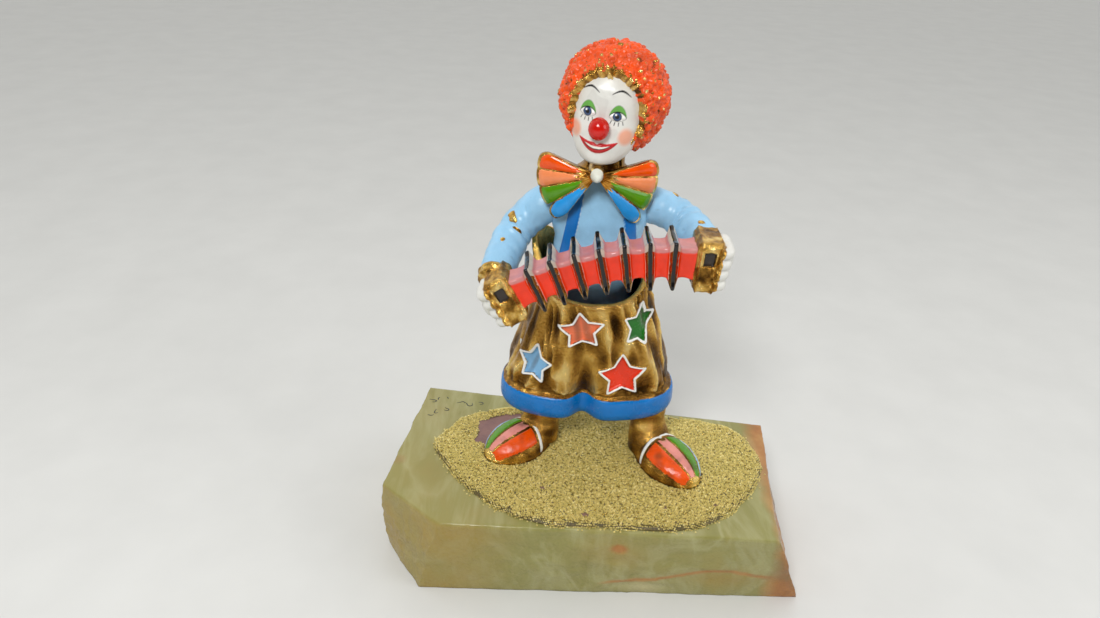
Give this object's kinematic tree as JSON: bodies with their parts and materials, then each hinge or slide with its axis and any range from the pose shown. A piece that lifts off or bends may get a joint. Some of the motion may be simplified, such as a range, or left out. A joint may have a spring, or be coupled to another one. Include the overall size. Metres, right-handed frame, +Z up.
{
  "type": "clown figurine",
  "caption": "Enamelled, gold-plated clown playing a concertina, standing in a bed of gold beads on a rough-hewn onyx slab; a shelf ornament.",
  "frame": {"origin": "bottom centre of the whole part, on the slab's underside", "axes": "+Z up, the clown faces -Y, +X to the right of someone who looks at its face"},
  "size_m": [0.178, 0.0958, 0.213],
  "materials": {
    "onyx": "polished banded green onyx on top, rough-hewn sides",
    "gold_beads": "tiny gold beads set in glue",
    "gold_plate": "antiqued gold plate, glossy on the high spots",
    "orange_enamel": "thick glossy orange-red enamel paint",
    "blue_enamel": "satin sky-blue enamel paint",
    "white_enamel": "white enamel paint",
    "striped_enamel": "glossy enamel in orange, peach, green and blue stripes"
  },
  "bodies": {
    "root": {"onyx_base": "onyx", "bead_bed": "gold_beads", "clown_figure": "gold_plate"}
  },
  "joints": []
}
